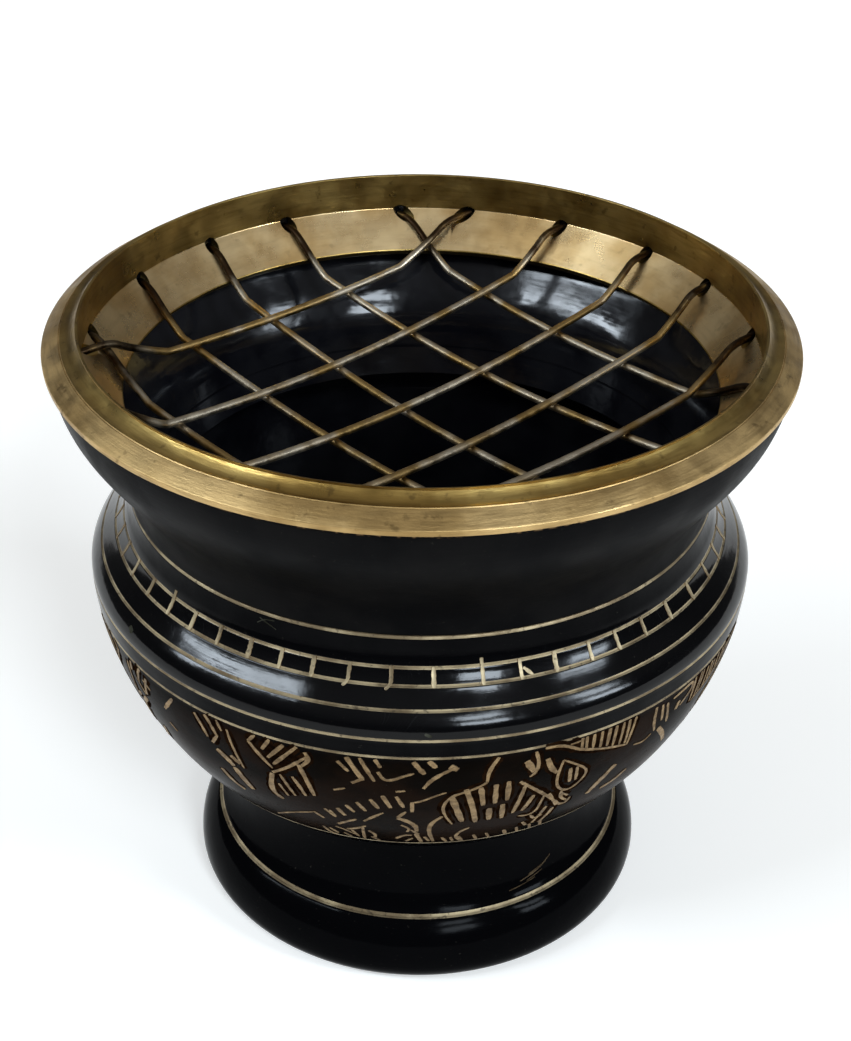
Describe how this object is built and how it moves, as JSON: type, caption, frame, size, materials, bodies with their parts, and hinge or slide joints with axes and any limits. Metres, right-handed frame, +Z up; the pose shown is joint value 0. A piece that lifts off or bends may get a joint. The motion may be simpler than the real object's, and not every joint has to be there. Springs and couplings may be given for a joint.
{
  "type": "incense burner",
  "caption": "Footed round incense burner: black enamelled brass bowl, flared collar and a lift-out drilled ring that holds a crossed wire screen over the hollow.",
  "frame": {"origin": "centre of the foot's underside, on the turning axis, where the burner stands on a table", "axes": "+Z up along the turning axis; +X to the right and +Y away from a person who faces the side with the upper wires running 43 degrees off X"},
  "size_m": [0.0754, 0.0754, 0.0681],
  "materials": {
    "black_enamel": "glossy black enamel over brass, with turned lines and engraving cut through to the gold metal",
    "satin_enamel": "satin black enamel",
    "aged_brass": "aged turned brass, dull on the outer band and polished inside the dish",
    "wire_brass": "drawn brass wire, tarnished",
    "steel": "zinc-plated steel"
  },
  "bodies": {
    "burner": {"foot": "black_enamel", "bowl": "black_enamel", "collar": "satin_enamel", "centre_screw": "steel", "screw_washer": "steel", "screw_nut": "steel"},
    "screen": {"screen_ring": "aged_brass", "upper_wire_1": "wire_brass", "upper_wire_2": "wire_brass", "upper_wire_3": "wire_brass", "upper_wire_4": "wire_brass", "upper_wire_5": "wire_brass", "lower_wire_1": "wire_brass", "lower_wire_2": "wire_brass", "lower_wire_3": "wire_brass", "lower_wire_4": "wire_brass", "lower_wire_5": "wire_brass"}
  },
  "joints": [
    {"name": "screen_lift", "type": "slide", "parent": "burner", "child": "screen", "axis": [0, 0, 1], "range_m": [0, 0.03]}
  ]
}
